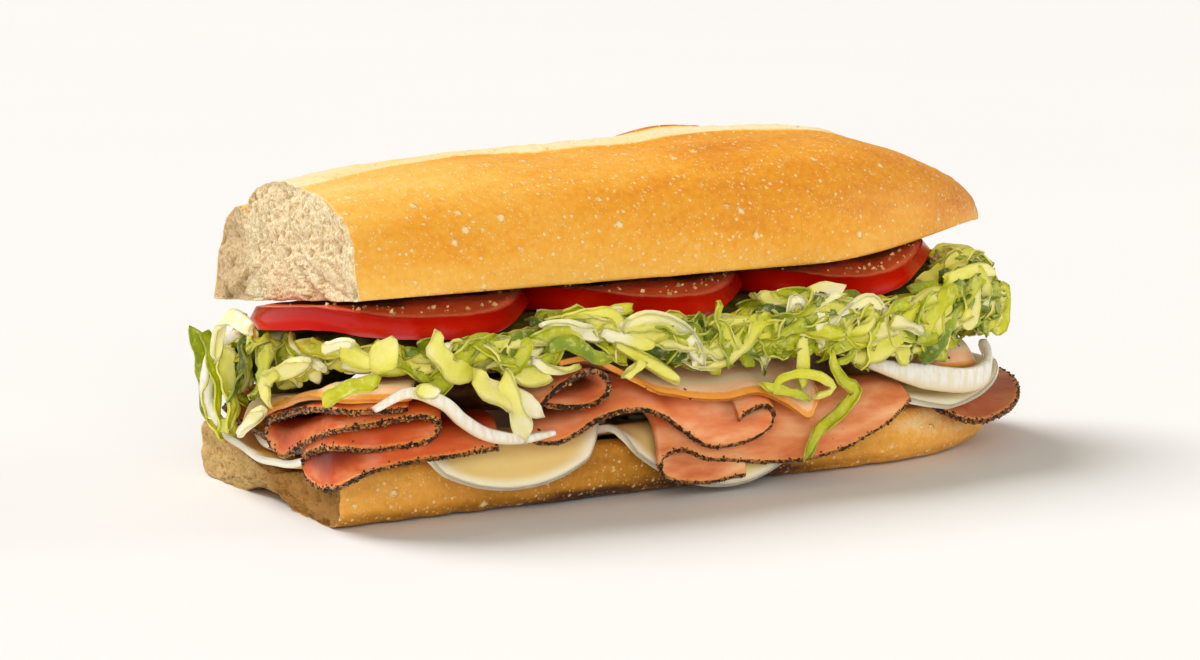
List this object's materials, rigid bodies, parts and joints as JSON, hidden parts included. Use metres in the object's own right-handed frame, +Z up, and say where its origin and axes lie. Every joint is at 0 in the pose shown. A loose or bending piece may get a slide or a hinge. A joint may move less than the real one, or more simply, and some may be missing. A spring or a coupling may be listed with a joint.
{
  "type": "submarine sandwich",
  "caption": "Half a long soft roll, cut across at one end, filled in layers with folded pepper-rimmed ham, cheese, onion, shredded lettuce and tomato.",
  "frame": {"origin": "on the flat underside of the roll's base half, midway between its sides, where it rests", "axes": "+Z up, +X along the roll from the cut end to the rounded heel, -Y the open front where the folded slices show"},
  "size_m": [0.2032, 0.1014, 0.0782],
  "materials": {
    "crust": "matte baked crust with a cream crumb where it is cut",
    "cheese": "smooth satin",
    "ham": "moist, with a ground pepper rim",
    "rind_ham": "moist, with an orange rind",
    "onion": "translucent and moist",
    "tomato": "glossy and wet",
    "leaf": "crisp leaf, green to pale rib"
  },
  "bodies": {
    "root": {"top_bread": "crust", "bottom_bread": "crust", "cheese_1": "cheese", "cheese_2": "cheese", "cheese_3": "cheese", "cheese_4": "cheese", "ham_heel": "ham", "ham_left": "ham", "ham_right": "ham", "ham_corner": "ham", "ham_corner_rind": "rind_ham", "ham_front": "ham", "ham_low": "ham", "ham_upper_rind": "rind_ham", "onion_1": "onion", "onion_2": "onion", "onion_3": "onion", "tomato_1": "tomato", "tomato_2": "tomato", "tomato_3": "tomato", "lettuce": "leaf"}
  },
  "joints": []
}
